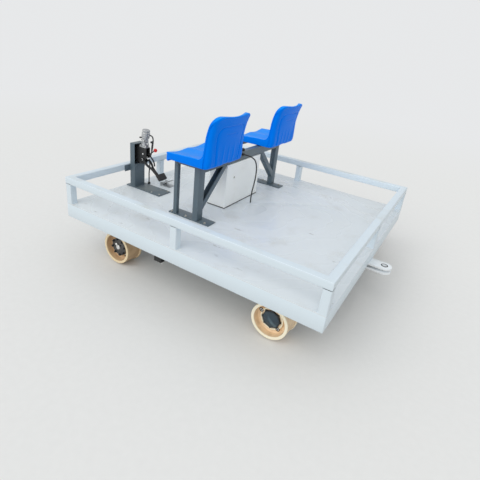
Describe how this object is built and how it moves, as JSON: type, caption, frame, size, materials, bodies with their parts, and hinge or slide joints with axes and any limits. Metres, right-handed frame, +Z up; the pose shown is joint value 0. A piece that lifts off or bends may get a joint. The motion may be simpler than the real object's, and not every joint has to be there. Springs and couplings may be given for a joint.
{
  "type": "railway handcar",
  "caption": "Flat electric rail inspection trolley: low guard rail, moulded seats on a steel bench, control box, foot pedals, flanged wheels on solid axles and a towing clevis.",
  "frame": {"origin": "middle of the trolley's length (deck and clevis together) and width, on the floor that its wheel flanges stand on", "axes": "+X along the rails towards the towing clevis, +Z up; the seats face -X and the pedals are on the -Y side"},
  "size_m": [2.145, 1.89, 1.2],
  "materials": {
    "frame_paint": "satin pale grey-white enamel",
    "deck_paint": "satin pale grey-white enamel, walked on",
    "bench_paint": "satin dark blue-grey enamel",
    "box_paint": "satin white powder coat",
    "wheel_paint": "satin cream enamel",
    "hub_steel": "dark oiled steel",
    "axle_steel": "turned steel",
    "disc_iron": "turned cast iron",
    "drive_paint": "satin dark grey enamel",
    "fitting_steel": "plated steel",
    "seat_plastic": "glossy blue moulded plastic",
    "black_rubber": "black rubber",
    "black_metal": "semi-gloss black",
    "black_plastic": "black plastic",
    "cast_aluminium": "as-cast aluminium",
    "red_plastic": "glossy red plastic"
  },
  "bodies": {
    "chassis": {"accelerator_base": "cast_aluminium", "accelerator_treadle": "black_plastic", "axle_hangers": "frame_paint", "bearing_housings": "drive_paint", "bench_base_bars": "bench_paint", "bench_braces": "bench_paint", "bench_front_beam": "bench_paint", "bench_front_legs": "bench_paint", "bench_rear_beam": "bench_paint", "bench_rear_legs": "bench_paint", "bench_side_bars": "bench_paint", "bolster_front": "frame_paint", "bolster_rear": "frame_paint", "brake_caliper": "drive_paint", "brake_hose": "black_rubber", "brake_junction": "fitting_steel", "brake_pedal": "black_metal", "brake_pedal_pad": "black_rubber", "cable": "black_rubber", "cable_gland": "black_plastic", "coupling_collar": "black_rubber", "coupling_plate_lower": "frame_paint", "coupling_plate_upper": "frame_paint", "coupling_spacer": "frame_paint", "cross_member_front": "frame_paint", "cross_member_rear": "frame_paint", "deck_plate": "deck_paint", "drive_gearbox": "drive_paint", "drive_motor": "drive_paint", "feed_hose": "black_rubber", "fluid_reservoir": "cast_aluminium", "frame_channel_far": "frame_paint", "frame_channel_front": "frame_paint", "frame_channel_near": "frame_paint", "frame_channel_rear": "frame_paint", "guard_rail_far": "frame_paint", "guard_rail_front": "frame_paint", "guard_rail_near": "frame_paint", "guard_rail_rear": "frame_paint", "hose_fitting": "black_metal", "master_cylinder": "cast_aluminium", "pedal_base_plate": "bench_paint", "pedal_bracket": "black_metal", "pedal_column": "bench_paint", "pedal_column_cover": "bench_paint", "power_box": "box_paint", "rail_posts": "frame_paint", "red_knob": "red_plastic", "seat_far": "seat_plastic", "seat_near": "seat_plastic"},
    "front_wheelset": {"axle_front": "axle_steel", "wheel_front_near": "wheel_paint", "wheel_front_far": "wheel_paint", "hub_plates_front": "hub_steel", "brake_disc": "disc_iron"},
    "rear_wheelset": {"axle_rear": "axle_steel", "wheel_rear_near": "wheel_paint", "wheel_rear_far": "wheel_paint", "hub_plates_rear": "hub_steel"}
  },
  "joints": [
    {"name": "front_wheelset_spin", "type": "hinge", "parent": "chassis", "child": "front_wheelset", "pos_m": [-0.7225, 0, 0.134], "axis": [0, 1, 0], "continuous": true},
    {"name": "rear_wheelset_spin", "type": "hinge", "parent": "chassis", "child": "rear_wheelset", "pos_m": [0.5775, 0, 0.134], "axis": [0, 1, 0], "continuous": true}
  ]
}
